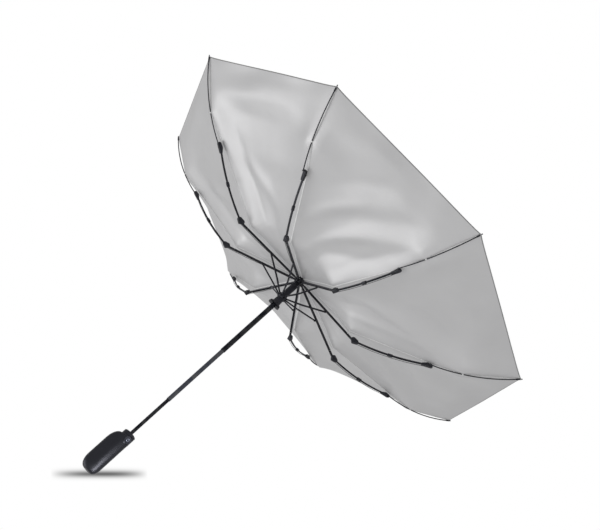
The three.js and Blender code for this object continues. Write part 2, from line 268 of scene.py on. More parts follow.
def smoothing_group():
    """A node group that shades a faceted mesh smooth, with creases left sharp."""
    group = bpy.data.node_groups.new("smooth_by_angle", "GeometryNodeTree")
    group.interface.new_socket("Geometry", in_out="INPUT", socket_type="NodeSocketGeometry")
    group.interface.new_socket("Geometry", in_out="OUTPUT", socket_type="NodeSocketGeometry")
    add, link = group.nodes.new, group.links.new
    start, end = add("NodeGroupInput"), add("NodeGroupOutput")
    angle = add("GeometryNodeInputMeshEdgeAngle")
    gentle = add("FunctionNodeCompare")
    gentle.operation = "LESS_THAN"
    gentle.inputs["B"].default_value = CREASE
    weld = add("GeometryNodeMergeByDistance")
    weld.inputs["Distance"].default_value = WELD
    faces, edges = add("GeometryNodeSetShadeSmooth"), add("GeometryNodeSetShadeSmooth")
    edges.domain = "EDGE"
    link(start.outputs[0], weld.inputs["Geometry"])
    link(weld.outputs[0], faces.inputs["Geometry"])
    link(faces.outputs[0], edges.inputs["Geometry"])
    link(angle.outputs["Unsigned Angle"], gentle.inputs["A"])
    link(gentle.outputs[0], edges.inputs["Shade Smooth"])
    link(edges.outputs[0], end.inputs[0])
    return group


def dress_frame():
    """Gives every CAD node its slot's material, and smooth shading."""
    group = smoothing_group()
    for row in frame["record"]["subparts"]:
        node = frame["nodes"][row["node"]]
        node.data.materials.clear()
        node.data.materials.append(blacks.get(row["material_slot"], fabric))
        node.modifiers.new("smooth", "NODES").node_group = group


dress_frame()


# Canopy: one sheet of eight sewn panels, simulated as cloth, then cut where the ribs fold.

CROWN_EDGE = (0.0075, 0.0084)  # the sheet's hole: distance from the shaft, height above the crown's pivots
ELBOW_TIE = (0.160, -0.020)
ROD_TIE_SHARE = 0.352  # along the chord of the outer rod, from its pin
CORNER_SHARE = 0.972  # where the sheet's corner is sewn to the rod
EASE = 0.090  # how far a kink at a tie is eased out, in a panel's middle
SEAM_WIDTH = 0.045  # how far from a seam the kinks fade
INNER_RISE = 0.0055  # the sheet's rise over the straight line from the crown to the elbow tie
FABRIC = 0.0004  # thickness
FLAP_LIFT = 0.00045  # overlaps lie this far behind the cloth beside them, and twice as far at the fold lines
COLUMNS = 28  # in one sector, which is centred on a rib
SEAMS = [rib * COLUMNS + COLUMNS // 2 for rib in range(RIBS)]  # the column on each rib
FOLD_ELBOW = (ELBOW.x + MIDDLE_PIN.x) / 2
FOLD_KNEE = (KNEE.x + OUTER_PIN.x) / 2
ROWS = {"to_elbow_tie": 16, "to_elbow_fold": 3, "to_knee_fold": 16, "to_rod_tie": 7, "to_hem": 13}


def on_rod(share, lift=0.0):
    """(distance from the shaft, height above the crown's pivots) on the bowed outer rod."""
    span = Vector((TIP.x - OUTER_PIN.x, TIP.z - OUTER_PIN.z))
    side = Vector((-span.y, span.x)).normalized()
    point = Vector((OUTER_PIN.x, OUTER_PIN.z - CROWN)) + span * share
    point += side * (lift - 4 * ROD_BOW * share * (1 - share))
    return point.x, point.y


ROD_TIE = on_rod(ROD_TIE_SHARE, ROD_RADIUS)
CORNER = on_rod(CORNER_SHARE, ROD_RADIUS)


def seam_height(radius):
    """Height of the seam line over the crown's pivots, at distances from the shaft."""
    radius = np.asarray(radius, float)
    knots = (CROWN_EDGE, ELBOW_TIE, ROD_TIE, CORNER)
    straight = np.interp(radius, [k[0] for k in knots], [k[1] for k in knots])
    share = np.clip((radius - CROWN_EDGE[0]) / (ELBOW_TIE[0] - CROWN_EDGE[0]), 0, 1)
    return straight + INNER_RISE * 4 * share * (1 - share)


def panel_height(radius, from_seam):
    """Height of the sheet: kinked at the ties along a seam, and a smooth curve away from it."""
    reach = np.minimum(EASE, np.minimum(radius - CROWN_EDGE[0], CORNER[0] - radius))
    offsets = np.linspace(-1, 1, 9)
    eased = np.mean([seam_height(radius + np.maximum(reach, 0) * offset) for offset in offsets], axis=0)
    share = 1 - np.exp(-((from_seam / SEAM_WIDTH) ** 2))
    return seam_height(radius) * (1 - share) + eased * share


def row_places():
    """The rows' places: distances along the rib as far as the knee, then shares of the way to the hem."""
    inner = np.concatenate((
        np.linspace(CROWN_EDGE[0], ELBOW_TIE[0], ROWS["to_elbow_tie"] + 1),
        np.linspace(ELBOW_TIE[0], FOLD_ELBOW, ROWS["to_elbow_fold"] + 1)[1:],
    ))
    middle = np.linspace(FOLD_ELBOW, FOLD_KNEE, ROWS["to_knee_fold"] + 1)[1:]
    tie = (ROD_TIE[0] - FOLD_KNEE) / (CORNER[0] - FOLD_KNEE)
    outer = np.concatenate((
        np.linspace(0, tie, ROWS["to_rod_tie"] + 1)[1:],
        np.linspace(tie, 1, ROWS["to_hem"] + 1)[1:],
    ))
    return inner, middle, outer


inner_rows, middle_rows, outer_rows = row_places()
LAST_INNER = len(inner_rows) - 1
LAST_MIDDLE = LAST_INNER + len(middle_rows)
LAST_ROW = LAST_MIDDLE + len(outer_rows)
ELBOW_TIE_ROW = ROWS["to_elbow_tie"]
ROD_TIE_ROW = LAST_MIDDLE + ROWS["to_rod_tie"]


def flat_sheet():
    """The sheet before simulation, as points[row, column], the columns counted round from rib 1's sector."""
    angles = (np.arange(RIBS * COLUMNS) - COLUMNS // 2) * SECTOR / COLUMNS
    inside = (angles + HALF) % SECTOR - HALF  # angle from the sector's own rib
    rib = angles - inside
    away = HALF - np.abs(inside)  # angle from the panel's middle
    hem = CORNER[0] * np.cos(HALF) * np.cos(inside) / np.cos(away)
    plain = np.concatenate((inner_rows, middle_rows))
    along = np.concatenate((
        np.repeat(plain[:, None], len(angles), 1), FOLD_KNEE + outer_rows[:, None] * (hem - FOLD_KNEE),
    ))
    across = along * np.tan(inside)
    seam_radius = along * np.cos(away) / (np.cos(inside) * math.cos(HALF))
    height = CROWN + panel_height(seam_radius, np.abs(across))
    lane = ROD_LANE * np.clip((seam_radius - FOLD_KNEE) / (ROD_TIE[0] - FOLD_KNEE), 0, 1)
    across = across + lane * (1 - np.abs(inside) / HALF)
    x = along * np.cos(rib) - across * np.sin(rib)
    y = along * np.sin(rib) + across * np.cos(rib)
    return np.stack((x, y, height), -1)


def band_faces(rings, size):
    """Faces between closed rings of points, the points counted ring by ring."""
    return [
        (
            ring * size + spot, ring * size + (spot + 1) % size,
            (ring + 1) * size + (spot + 1) % size, (ring + 1) * size + spot,
        )
        for ring in range(rings - 1) for spot in range(size)
    ]


def solid_faces(rings, size):
    """The same, with a face to close each end."""
    last = (rings - 1) * size
    return band_faces(rings, size) + [tuple(range(size)), tuple(range(last, last + size))]


FRAMES = 40  # steps of the cloth simulation
GRAVITY = 9.81
SOFTENING = 8  # passes that even out small wrinkles
CLOTH = {  # Blender's settings; seams and hem shrink by shrink_max, and the rest by shrink_min
    "quality": 6, "mass": 0.02, "air_damping": 4,
    "tension_stiffness": 25, "compression_stiffness": 12, "shear_stiffness": 8, "bending_stiffness": 4.0,
    "tension_damping": 12, "compression_damping": 12, "shear_damping": 10,
    "vertex_group_mass": "held", "vertex_group_shrink": "taut", "shrink_min": -0.003, "shrink_max": 0.004,
    "use_pressure": True, "uniform_pressure_force": 0.05,
}
PULL = 0.10  # share of gravity that acts, straight down in the picture

# Fullness of the sheet, in metres: how far panels stand behind the ribs, the ridges along the seams, whose
# highest place ridge_power moves outwards, and the pinch at each tie. bare is a share of the panel: close to
# the rib a pinch fades.
FULLNESS = {
    "billow": 0.005, "ridge": 0.008, "ridge_width": 0.032, "ridge_power": 1.6,
    "pinch": 0.008, "pinch_width": 0.045, "bare": 0.02,
}
PINCHES = ((ELBOW_TIE[0], 0.3), (ROD_TIE[0], 1.2))  # each tie's distance from the shaft, and its strength
HEM_EASE = 0.02  # folds fade out this close to the hem
NUDGE = 1e-9  # puts a column that lies on a rib in the panel after it

# Long soft folds of a panel: the share of the way to the hem where a fold crosses the panel's middle, how far
# it climbs from one rib to the next, its half width as a share, where it is deepest and how far it spreads
# across, and its depth in metres, positive away from the handle.
LOOSE_PANEL = (
    (0.93, 0.05, 0.045, 0.40, 0.45, -0.005), (0.80, -0.03, 0.045, 0.22, 0.28, 0.004),
    (0.66, 0.05, 0.050, 0.60, 0.40, -0.003),
)
DRAGGED_PANEL = (
    (0.52, 0.65, 0.055, 0.62, 0.35, -0.006), (0.66, 0.55, 0.050, 0.55, 0.35, 0.003),
    (0.38, 0.45, 0.050, 0.75, 0.30, 0.004), (0.95, 0.02, 0.050, 0.35, 0.40, -0.003),
    (0.74, 0.60, 0.040, 0.30, 0.30, -0.003), (0.86, 0.50, 0.040, 0.30, 0.30, 0.002),
    (-0.12, 2.00, 0.120, 0.92, 0.10, 0.010),
)
CREASED_PANEL = (
    (0.92, 0.00, 0.050, 0.60, 0.30, -0.003), (0.50, 0.50, 0.050, 0.66, 0.28, -0.007),
    (0.66, 0.42, 0.045, 0.70, 0.25, 0.005), (-0.05, 2.00, 0.110, 0.86, 0.12, -0.007),
)
LOOSE_BY_RIB = LOOSE_PANEL + (
    (-0.02, -2.00, 0.120, 0.16, 0.12, 0.007), (0.50, -0.40, 0.045, 0.30, 0.25, -0.005),
)
PANELS = (
    LOOSE_BY_RIB, DRAGGED_PANEL, CREASED_PANEL, CREASED_PANEL,
    LOOSE_PANEL, CREASED_PANEL, DRAGGED_PANEL, LOOSE_BY_RIB,
)


def panel_folds(share, turn, folds):
    """Depth of a panel's folds, at shares of the way to the hem and turns from one rib to the next."""
    depth = 0
    for start, climb, width, deepest, spread, size in folds:
        line = ((share - start - climb * (turn - 0.5)) / width) ** 2
        depth = depth + size * np.exp(-line - ((turn - deepest) / spread) ** 2)
    return depth


def shaped(sheet):
    """The sheet with its fullness: billowing panels, ridges along the seams, and soft folds."""
    columns = sheet.shape[1]
    angles = (np.arange(columns) - COLUMNS // 2) * SECTOR / COLUMNS
    whole = np.floor(angles / SECTOR + NUDGE)
    panel = (whole % RIBS).astype(int)
    turn = angles / SECTOR - whole  # across a panel, from 0 at one rib to 1 at the next
    across = np.sin(math.pi * turn)
    side = np.minimum(turn, 1 - turn)
    reach = np.linalg.norm(sheet[..., :2], axis=-1)
    seam_reach = reach * np.cos(np.abs(turn - 0.5) * SECTOR) / math.cos(HALF)
    share = np.clip(seam_reach / CORNER[0], 0, 1)
    to_hem = CORNER[0] - seam_reach
    opened = np.sin(math.pi * share ** FULLNESS["ridge_power"])
    lift = FULLNESS["billow"] * np.sin(math.pi * share) * across
    lift += FULLNESS["ridge"] * (1 - np.exp(-reach * side * SECTOR / FULLNESS["ridge_width"])) * opened
    for tie, size in PINCHES:
        from_tie = np.hypot(reach - tie, reach * side * SECTOR)
        pinch = size * FULLNESS["pinch"] * np.exp(-from_tie / FULLNESS["pinch_width"])
        lift -= pinch * (1 - np.exp(-side / FULLNESS["bare"]))
    for index, folds in enumerate(PANELS):
        lift += panel_folds(share, turn, folds) * across * np.clip(to_hem / HEM_EASE, 0, 1) * (panel == index)
    lifted = sheet.copy()
    lifted[..., 2] += lift
    return lifted


def softened(settled, start):
    """The settled sheet with its small wrinkles evened out, away from seams, hem and crown."""
    moved = settled - start
    free = np.ones(start.shape[:2])
    free[:2] = 0
    free[-1] = 0
    free[:, SEAMS] = 0
    for _ in range(SOFTENING):
        beside = (np.roll(moved, 1, 1) + np.roll(moved, -1, 1)) / 2
        along = np.zeros_like(moved)
        along[1:-1] = (moved[:-2] + moved[2:]) / 2
        moved += free[..., None] * 0.5 * ((beside + along) / 2 - moved)
    return start + moved


def simulated(sheet):
    """The sheet after a cloth simulation, held at the crown, the ties and the corners."""
    rows, columns = sheet.shape[:2]
    start = shaped(sheet)
    faces = [(a, d, c, b) for a, b, c, d in band_faces(rows, columns)]
    mesh = bpy.data.meshes.new("cloth")
    mesh.from_pydata(start.reshape(-1, 3).tolist(), [], faces)
    cloth = added("cloth", mesh)
    crown = list(range(2 * columns))
    tied = [row * columns + seam for seam in SEAMS for row in (ELBOW_TIE_ROW, ROD_TIE_ROW, LAST_ROW)]
    hem = [(rows - 1) * columns + column for column in range(columns)]
    sewn = [row * columns + seam for row in range(rows) for seam in SEAMS]
    cloth.vertex_groups.new(name="held").add(crown + tied, 1.0, "REPLACE")
    cloth.vertex_groups.new(name="taut").add(hem + sewn, 1.0, "REPLACE")
    modifier = cloth.modifiers.new("Cloth", "CLOTH")
    for key, value in CLOTH.items():
        setattr(modifier.settings, key, value)
    modifier.settings.effector_weights.gravity = PULL
    modifier.collision_settings.use_collision = False
    scene = bpy.context.scene
    scene.gravity = -GRAVITY * UP
    modifier.point_cache.frame_start = 1
    modifier.point_cache.frame_end = FRAMES
    for step in range(1, FRAMES + 1):
        scene.frame_set(step)
    settled = cloth.evaluated_get(bpy.context.evaluated_depsgraph_get()).to_mesh()
    points = np.zeros(rows * columns * 3)
    settled.vertices.foreach_get("co", points)
    cloth.to_mesh_clear()
    bpy.data.objects.remove(cloth)
    scene.frame_set(1)
    return softened(points.reshape(rows, columns, 3), start)


def unit(vectors):
    return vectors / np.maximum(np.linalg.norm(vectors, axis=-1, keepdims=True), 1e-12)


def panel_normals(sheet):
    """Upward normals[side, row, column]: side 0 as the panel before a column has them, side 1 as the next."""
    rows, columns = sheet.shape[:2]
    normals = np.zeros((2, rows, columns, 3))
    for panel in range(RIBS):
        start = panel * COLUMNS + COLUMNS // 2
        index = np.arange(start, start + COLUMNS + 1) % columns
        patch = sheet[:, index]
        normal = unit(np.cross(np.gradient(patch, axis=0), np.gradient(patch, axis=1)))
        normals[0][:, index[1:]] = normal[:, 1:]
        normals[1][:, index[:-1]] = normal[:, :-1]
    return normals


class Shell:
    """Cuts thin closed sheets from the canopy's grid, with the whole canopy's normals to hide the cuts."""

    def __init__(self, sheet, normals):
        self.sheet = sheet
        self.normals = normals
        self.columns = sheet.shape[1]

    def make(self, name, rows, columns, lift):
        """One sheet, from lists of rows and columns; lift is each point's height behind the grid."""
        ids = np.array(columns) % self.columns
        points = self.sheet[np.ix_(rows, ids)]
        before = self.normals[0][np.ix_(rows, ids)]
        after = self.normals[1][np.ix_(rows, ids)]
        mean = unit(before + after)
        high = points + mean * (lift + FABRIC / 2)[..., None]
        low = points + mean * (lift - FABRIC / 2)[..., None]
        height, width = points.shape[:2]
        count = height * width
        vertices = np.concatenate((high.reshape(-1, 3), low.reshape(-1, 3)))
        faces, loops = [], []
        for r in range(height - 1):
            for c in range(width - 1):
                corners = [(r, c), (r + 1, c), (r + 1, c + 1), (r, c + 1)]
                shade = [after[i, j] if j == c else before[i, j] for i, j in corners]
                ring = [i * width + j for i, j in corners]
                faces.append(ring)
                loops += shade
                faces.append([count + v for v in (ring[0], ring[3], ring[2], ring[1])])
                loops += [-n for n in (shade[0], shade[3], shade[2], shade[1])]
        ring = [(0, c) for c in range(width)] + [(r, width - 1) for r in range(1, height)]
        ring += [(height - 1, c) for c in range(width - 2, -1, -1)]
        ring += [(r, 0) for r in range(height - 2, 0, -1)]
        edge = [i * width + j for i, j in ring]
        for first, second in zip(edge, edge[1:] + edge[:1]):
            face = [first, second, count + second, count + first]
            flat = np.cross(vertices[second] - vertices[first], vertices[count + first] - vertices[first])
            faces.append(face)
            loops += [unit(flat)] * 4
        mesh = bpy.data.meshes.new(name)
        mesh.from_pydata(vertices.tolist(), [], faces)
        self.add_weave(mesh, points, count)
        mesh.normals_split_custom_set([tuple(n) for n in loops])
        mesh.materials.append(fabric)
        return added(name, mesh)

    @staticmethod
    def add_weave(mesh, points, count):
        """Metre-sized coordinates for the weave, and which side of the cloth a face is on."""
        across = np.cumsum(np.linalg.norm(np.diff(points, axis=1, prepend=points[:, :1]), axis=-1), 1)
        along = np.cumsum(np.linalg.norm(np.diff(points, axis=0, prepend=points[:1]), axis=-1), 0)
        weave = np.stack((across, along), -1).reshape(-1, 2)
        layer = mesh.uv_layers.new(name="UVMap")
        corner = np.zeros(len(mesh.loops), int)
        mesh.loops.foreach_get("vertex_index", corner)
        layer.data.foreach_set("uv", weave[corner % count].astype(np.float32).ravel())
        outside = mesh.attributes.new("outside", "FLOAT", "FACE")
        starts = [polygon.vertices[0] for polygon in mesh.polygons]
        sides = [1.0 if first < count else 0.0 for first in starts]
        outside.data.foreach_set("value", sides)


# A zone of the sheet: its first and last row, how many rows its pieces reach behind the zones on either side,
# how many columns they reach behind their neighbours, the body they ride on, and how narrow they gather.
Zone = namedtuple("Zone", "first last inwards outwards sideways body keep")
ZONES = {
    "inner": Zone(0, LAST_INNER, 0, 3, 1, "inner_rib", 0.18),
    "middle": Zone(LAST_INNER, LAST_MIDDLE, 2, 2, 3, "middle_rib", 0.14),
    "outer": Zone(LAST_MIDDLE, LAST_ROW, 2, 0, 2, "outer_rib", 0.15),
}
# A sector's columns on each side of the rib in its middle.
SIDES = {"right": (0, COLUMNS // 2), "left": (COLUMNS // 2, COLUMNS)}


def fold(piece, sheet, rib, zone):
    """Let a piece of one side of a rib ride on it."""
    rows = slice(zone.first, zone.last + 1)
    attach(piece, f"{zone.body}_{rib + 1}")
    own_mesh(piece)


def cut_canopy(shell):
    """Two pieces for each rib and zone, one on each side, that reach a little behind their neighbours."""
    for rib in range(RIBS):
        for zone_name, zone in ZONES.items():
            rows = list(range(zone.first - zone.inwards, zone.last + zone.outwards + 1))
            beyond = np.array([0.0 if zone.first <= row <= zone.last else 2 * FLAP_LIFT for row in rows])
            for side, (start, end) in SIDES.items():
                low = start - zone.sideways if side == "right" else start
                high = end + zone.sideways if side == "left" else end
                reach = range(low, high + 1)
                beside = np.array([0.0 if start <= column <= end else FLAP_LIFT for column in reach])
                columns = [rib * COLUMNS + column for column in reach]
                name = f"canopy_{zone_name}_{side}_{rib + 1}"
                piece = shell.make(name, rows, columns, beyond[:, None] + beside[None])
                fold(piece, shell.sheet, rib, zone)
    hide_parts("canopy")


sheet = flat_sheet()
sheet = simulated(sheet)
shell = Shell(sheet, panel_normals(sheet))
cut_canopy(shell)


# Trim and small hardware: swept bars and moulded shells, built for rib 1 and turned to each rib.

THREAD = 0.5 * MM
WIRE = 1.0 * MM
SEAM_TAPE = (2.2 * MM, 0.5 * MM)  # width and thickness
HEM = (2.2 * MM, 1.1 * MM)
WINDING = 1.1  # distance between the turns of a whipping, in threads
TIE_LOOP = (2.4 * MM, 3.0 * MM)  # half width and half height of the thread's loop round an inner rib
TIE_STEM = 2.8 * MM  # height over the rib's middle where its stem starts
LINK_LANE = -3.0 * MM  # beside an inner rib
LINK_PATH = ((0.088, 2.6 * MM), (0.13, 4.6 * MM), (0.176, 4.2 * MM))  # distance from the shaft, drop
PULL_LANE = 2.9 * MM  # beside a middle rib
PULL_DROPS = (3.0 * MM, 3.2 * MM, 3.4 * MM, 3.2 * MM, 3.0 * MM)  # at equal steps along it
BEAD = 6.6 * MM
BEAD_PATH = (0.46, 0.475, 0.49, 0.505, 0.52)  # shares of a middle rib

# Bracket shells: the radius round each pin, a lug below the first pin as (x, z, radius) from it, the width
# across the rib, and the half length and radius of each pin's rivet and washer.
ELBOW_SHELL = {
    "radii": (4.9 * MM, 4.4 * MM), "lug": (2.0 * MM, -5.2 * MM, 2.6 * MM), "width": 6.6 * MM,
    "rivets": ((3.9 * MM, 1.5 * MM), (3.6 * MM, 2.0 * MM)),
}
KNEE_SHELL = {
    "radii": (4.0 * MM, 3.7 * MM), "lug": (-8.0 * MM, -5.4 * MM, 2.6 * MM), "width": 6.4 * MM,
    "rivets": ((3.8 * MM, 1.3 * MM), (3.5 * MM, 1.8 * MM)),
}


def bar(path, up, width, height, sides=10):
    """An elliptic bar along a path, as vertices and faces; up is one vector, or one per point."""
    path = np.asarray(path, float)
    ahead = unit(np.gradient(path, axis=0))
    side = unit(np.cross(ahead, np.broadcast_to(np.asarray(up, float), path.shape)))
    rise = np.cross(side, ahead)
    turn = np.arange(sides)[None, :, None] * 2 * math.pi / sides
    rings = path[:, None] + side[:, None] * np.cos(turn) * width / 2
    rings = rings + rise[:, None] * np.sin(turn) * height / 2
    return rings.reshape(-1, 3), solid_faces(len(path), sides)


def moulded(discs, width, edge=0.6 * MM, steps=20):
    """A rounded shell drawn tight round discs (x, z, radius), as vertices and faces."""
    mesh = bmesh.new()
    turns = [2 * math.pi * step / steps for step in range(steps)]
    for x, z, radius in discs:
        for y, inset in ((width / 2, edge), (width / 2 - edge, 0), (edge - width / 2, 0), (-width / 2, edge)):
            size = radius - inset
            for turn in turns:
                mesh.verts.new((x + size * math.cos(turn), y, z + size * math.sin(turn)))
    hull = bmesh.ops.convex_hull(mesh, input=mesh.verts[:])
    bmesh.ops.delete(mesh, geom=hull["geom_interior"], context="VERTS")
    mesh.verts.ensure_lookup_table()
    mesh.verts.index_update()
    vertices = np.array([tuple(vertex.co) for vertex in mesh.verts])
    faces = [tuple(vertex.index for vertex in face.verts) for face in mesh.faces]
    mesh.free()
    return vertices, faces


def solid_mesh(name, parts, spin):
    """A mesh of several closed parts, turned by a matrix, with every face outwards."""
    mesh = bmesh.new()
    for vertices, faces in parts:
        made = [mesh.verts.new(spin @ Vector(vertex)) for vertex in vertices]
        for face in faces:
            mesh.faces.new([made[index] for index in face])
    bmesh.ops.recalc_face_normals(mesh, faces=mesh.faces[:])
    data = bpy.data.meshes.new(name)
    mesh.to_mesh(data)
    mesh.free()
    return data


def make_piece(name, parts, material, slot, rib=0):
    """One object of several closed parts, turned from rib 1's place to another rib's."""
    data = solid_mesh(name, parts, Matrix.Rotation(rib * SECTOR, 3, "Z"))
    data.shade_smooth()
    data.set_sharp_from_angle(angle=math.radians(40))
    data.materials.append(material)
    return added(name, data)


def add_trim(shell):
    """Seam tapes under the sheet along every rib, cut where the sheet is cut, and a rolled hem."""
    mean = unit(shell.normals[0] + shell.normals[1])
    for rib, seam in enumerate(SEAMS):
        for name, zone in ZONES.items():
            rows = slice(zone.first, zone.last + 1)
            under = FABRIC / 2 + SEAM_TAPE[1] / 2
            tape = bar(shell.sheet[rows, seam] - mean[rows, seam] * under, mean[rows, seam], *SEAM_TAPE)
            # the tape's light grey carries a painted highlight along the seam
            piece = make_piece(f"seam_{name}_{rib + 1}", [tape], tape_painted_highlight, "canopy_silver")
            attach(piece, f"{zone.body}_{rib + 1}")
        for side, (start, end) in SIDES.items():
            ids = (rib * COLUMNS + np.arange(start, end + 1)) % (RIBS * COLUMNS)
            edge = bar(shell.sheet[LAST_ROW, ids], mean[LAST_ROW, ids], *HEM)
            hem = make_piece(f"hem_{side}_{rib + 1}", [edge], hem_grey, "canopy_silver")
            fold(hem, shell.sheet, rib, ZONES["outer"])


def rod_point(share):
    x, z = on_rod(share)
    return np.array((x, ROD_LANE, CROWN + z))


def whipping(share, turns):
    """A thread wound round the outer rod at a share of its length."""
    steps = np.linspace(0, 1, 10 * turns + 1)
    start = rod_point(share)
    ahead = unit(rod_point(share + 0.002) - start)
    side = np.array((0, 1, 0))
    rise = np.cross(ahead, side)
    angle = 2 * math.pi * turns * steps
    radius = ROD_RADIUS + THREAD / 2
    path = start + ahead * ((steps - 0.5) * turns * THREAD * WINDING)[:, None]
    path = path + radius * (np.cos(angle)[:, None] * side + np.sin(angle)[:, None] * rise)
    return bar(path, ahead, THREAD, THREAD, 6)


def inner_rib_place(x, y, drop):
    """A point beside inner rib 1, drop below the line through its pins."""
    slope = (ELBOW.z - CROWN) / (ELBOW.x - pins["inner_rib_pivot_1"].x)
    return x, y, CROWN + slope * (x - pins["inner_rib_pivot_1"].x) - drop


def middle_rib_place(share, y, drop):
    """A point beside bowed middle rib 1, drop below its centre line."""
    place = MIDDLE_PIN.lerp(KNEE, share)
    sag = drop + 4 * MIDDLE_BOW * share * (1 - share)
    ahead = (KNEE - MIDDLE_PIN).normalized()
    return place.x + ahead.z * sag, y, place.z - ahead.x * sag


def bracket_parts(pair, shell):
    """A moulded shell round a pair of pins, with a rivet and a washer on each pin."""
    lug_x, lug_z, lug_radius = shell["lug"]
    discs = [(pin.x, pin.z, radius) for pin, radius in zip(pair, shell["radii"])]
    discs.append((pair[0].x + lug_x, pair[0].z + lug_z, lug_radius))
    rivets = [
        bar([(pin.x, -reach, pin.z), (pin.x, reach, pin.z)], (1, 0, 0), 2 * radius, 2 * radius, 16)
        for pin in pair for reach, radius in shell["rivets"]
    ]
    return [moulded(discs, shell["width"])] + rivets


def elbow_tie():
    """A thread that loops round an inner rib and holds the sheet to it."""
    tie_x, tie_z = ELBOW_TIE
    rib_z = inner_rib_place(tie_x, 0, 0)[2]
    turns = np.linspace(0, 2 * math.pi, 17)
    loop = [(tie_x, TIE_LOOP[0] * math.cos(a), rib_z + TIE_LOOP[1] * math.sin(a)) for a in turns]
    heights = (rib_z + TIE_STEM, (rib_z + CROWN + tie_z) / 2, CROWN + tie_z)
    stem = [(tie_x, 0, height) for height in heights]
    return [bar(path, (1, 0, 0), THREAD, THREAD, 6) for path in (loop, stem)]


def add_hardware():
    """Ties, wires, beads and the moulded shells of the brackets, on every rib."""
    rod_ties = [whipping(share, turns) for share, turns in ((ROD_TIE_SHARE, 6), (CORNER_SHARE, 5))]
    link = [inner_rib_place(x, LINK_LANE, drop) for x, drop in LINK_PATH]
    pull = [middle_rib_place(step / 4, PULL_LANE, drop) for step, drop in enumerate(PULL_DROPS)]
    bead = [middle_rib_place(share, 0, 0) for share in BEAD_PATH]
    rows = (
        ("elbow_tie", elbow_tie(), "canopy_silver", "inner_rib"),
        ("rod_ties", rod_ties, "canopy_silver", "outer_rib"),
        ("link_wire", [bar(link, (0, 1, 0), WIRE, WIRE)], "rib_steel", "inner_rib"),
        ("pull_wire", [bar(pull, (0, 1, 0), WIRE, WIRE)], "rib_steel", "middle_rib"),
        ("bead", [bar(bead, (0, 0, 1), BEAD, BEAD, 16)], "black_plastic", "middle_rib"),
        ("elbow_shell", bracket_parts((ELBOW, MIDDLE_PIN), ELBOW_SHELL), "black_plastic", "elbow_bracket"),
        ("outer_shell", bracket_parts((KNEE, OUTER_PIN), KNEE_SHELL), "black_plastic", "outer_bracket"),
    )
    for rib in range(RIBS):
        for name, parts, slot, body in rows:
            material = blacks.get(slot, thread_white)
            piece = make_piece(f"{name}_{rib + 1}", parts, material, slot, rib)
            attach(piece, f"{body}_{rib + 1}")
            if name.endswith("shell"):
                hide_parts(f"{body}_{rib + 1}")


TWILL = 0.0007  # distance between the slanting threads of tape and hem


def cloth_material(name, level, rough):
    """Sewn tape or thread: a fine twill of one grey."""
    tree = new_material(name)
    place = tree.add("ShaderNodeTexCoord").outputs["Object"]
    split = tree.add("ShaderNodeSeparateXYZ", {"Vector": place})
    slant = tree.math("ADD", split.outputs[0], tree.math("ADD", split.outputs[1], split.outputs[2]))
    twill = tree.math("SINE", tree.product(slant, 2 * math.pi / TWILL))
    patch = tree.ramp(tree.noise(place, 120.0, 3.0), 0.3, 0.7)
    shader = tree.add("ShaderNodeBsdfPrincipled", {
        "Base Color": tree.mix(patch, grey(level * 0.9), grey(level * 1.05)), "Roughness": rough,
        "Sheen Weight": 0.3, "Normal": tree.bump(twill, 0.3, 0.0001),
    })
    return tree.finish(shader)


# The seam tapes are light grey, made lighter still as a painted highlight for the light that catches each seam's
# ridge.
tape_painted_highlight = cloth_material("tape_painted_highlight", 0.85, 0.4)
hem_grey = cloth_material("hem_grey", 0.26, 0.6)
thread_white = cloth_material("thread_white", 0.85, 0.7)
add_trim(shell)
add_hardware()


# Handle: a long oval body that reaches out to one side of the shaft, under a round neck with the push button.

HANDLE = {
    "shoulder": 0.096, "slope_start": 0.066,  # heights of the body's top and of where its long side slopes
    "side": 0.0132, "reach": 0.0268,  # half the body's thickness, and how far its long side reaches out
    "foot_rise": 0.017, "long_foot_rise": 0.024,  # heights of the rounding above the foot
    "neck": 0.0135, "azimuth": -20,
}
FOOT = {"right": 0.48, "left": 0.3, "deep": 0.42}  # share of each half width that is left at the very foot
GRIP = {"middle": 0.050, "reach": 0.034}  # where along the body the ridge and the scoop are
SWELLS = ((0.0010, 0.004, 0.006), (-0.0016, 0.016, 0.006))  # ridge and scoop: height, place across and width
# The flare at the neck's foot and the groove round it, as (radius over the neck's, height).
NECK_FOOT = ((-0.003, 0.076), (0, 0.086))
GROOVE = ((0, 0.0990), (-0.0004, 0.0992), (-0.0004, 0.0996), (0, 0.0998))
NECK_EDGE = 0.0012
NECK_BASE = 0.070
NECK_CORE = 0.002  # small radii that the neck's and the button's profiles start and end at
BUTTON_CORE = 0.0005
BORE_FLOOR = 0.028
BUTTON = {"radius": 0.0083, "seat": 0.0082, "face": 0.0119, "height": 0.093, "azimuth": 100}
POCKET_END = 0.020  # where the cut for the button ends, outside the handle
DISH = (  # the button's face from its edge inwards, as (radius, height) from its edge and face
    (0, -0.0006), (-0.0006, 0), (-0.0014, 0), (-0.003, -0.0004),
)
DISH_MIDDLE = (0.0025, -0.0007)  # radius and height of the flat in the middle
MARK = {"radius": 0.0026, "width": 0.0010, "thick": 0.0008, "sunk": 0.0005}  # a ring on the button
CLEARANCE = 0.0003


def rounded_in(least, height, rise):
    """A share that grows from least at the foot to 1 at the rise, round a quarter circle."""
    return least + (1 - least) * math.sqrt(max(0.0, 1 - max(0.0, 1 - height / rise) ** 2))


def squarer(value):
    """A sine or cosine that makes an oval a little squarer."""
    return math.copysign(abs(value) ** 0.8, value)


def lofted(rings):
    """Vertices and faces of a closed solid through rings with equal numbers of points."""
    return [point for ring in rings for point in ring], solid_faces(len(rings), len(rings[0]))


def revolved(profile, steps=72):
    """A closed solid turned round Z from (radius, height) points; its first and last rings are its ends."""
    turns = [2 * math.pi * step / steps for step in range(steps)]
    return lofted([[(r * math.cos(turn), r * math.sin(turn), z) for turn in turns] for r, z in profile])


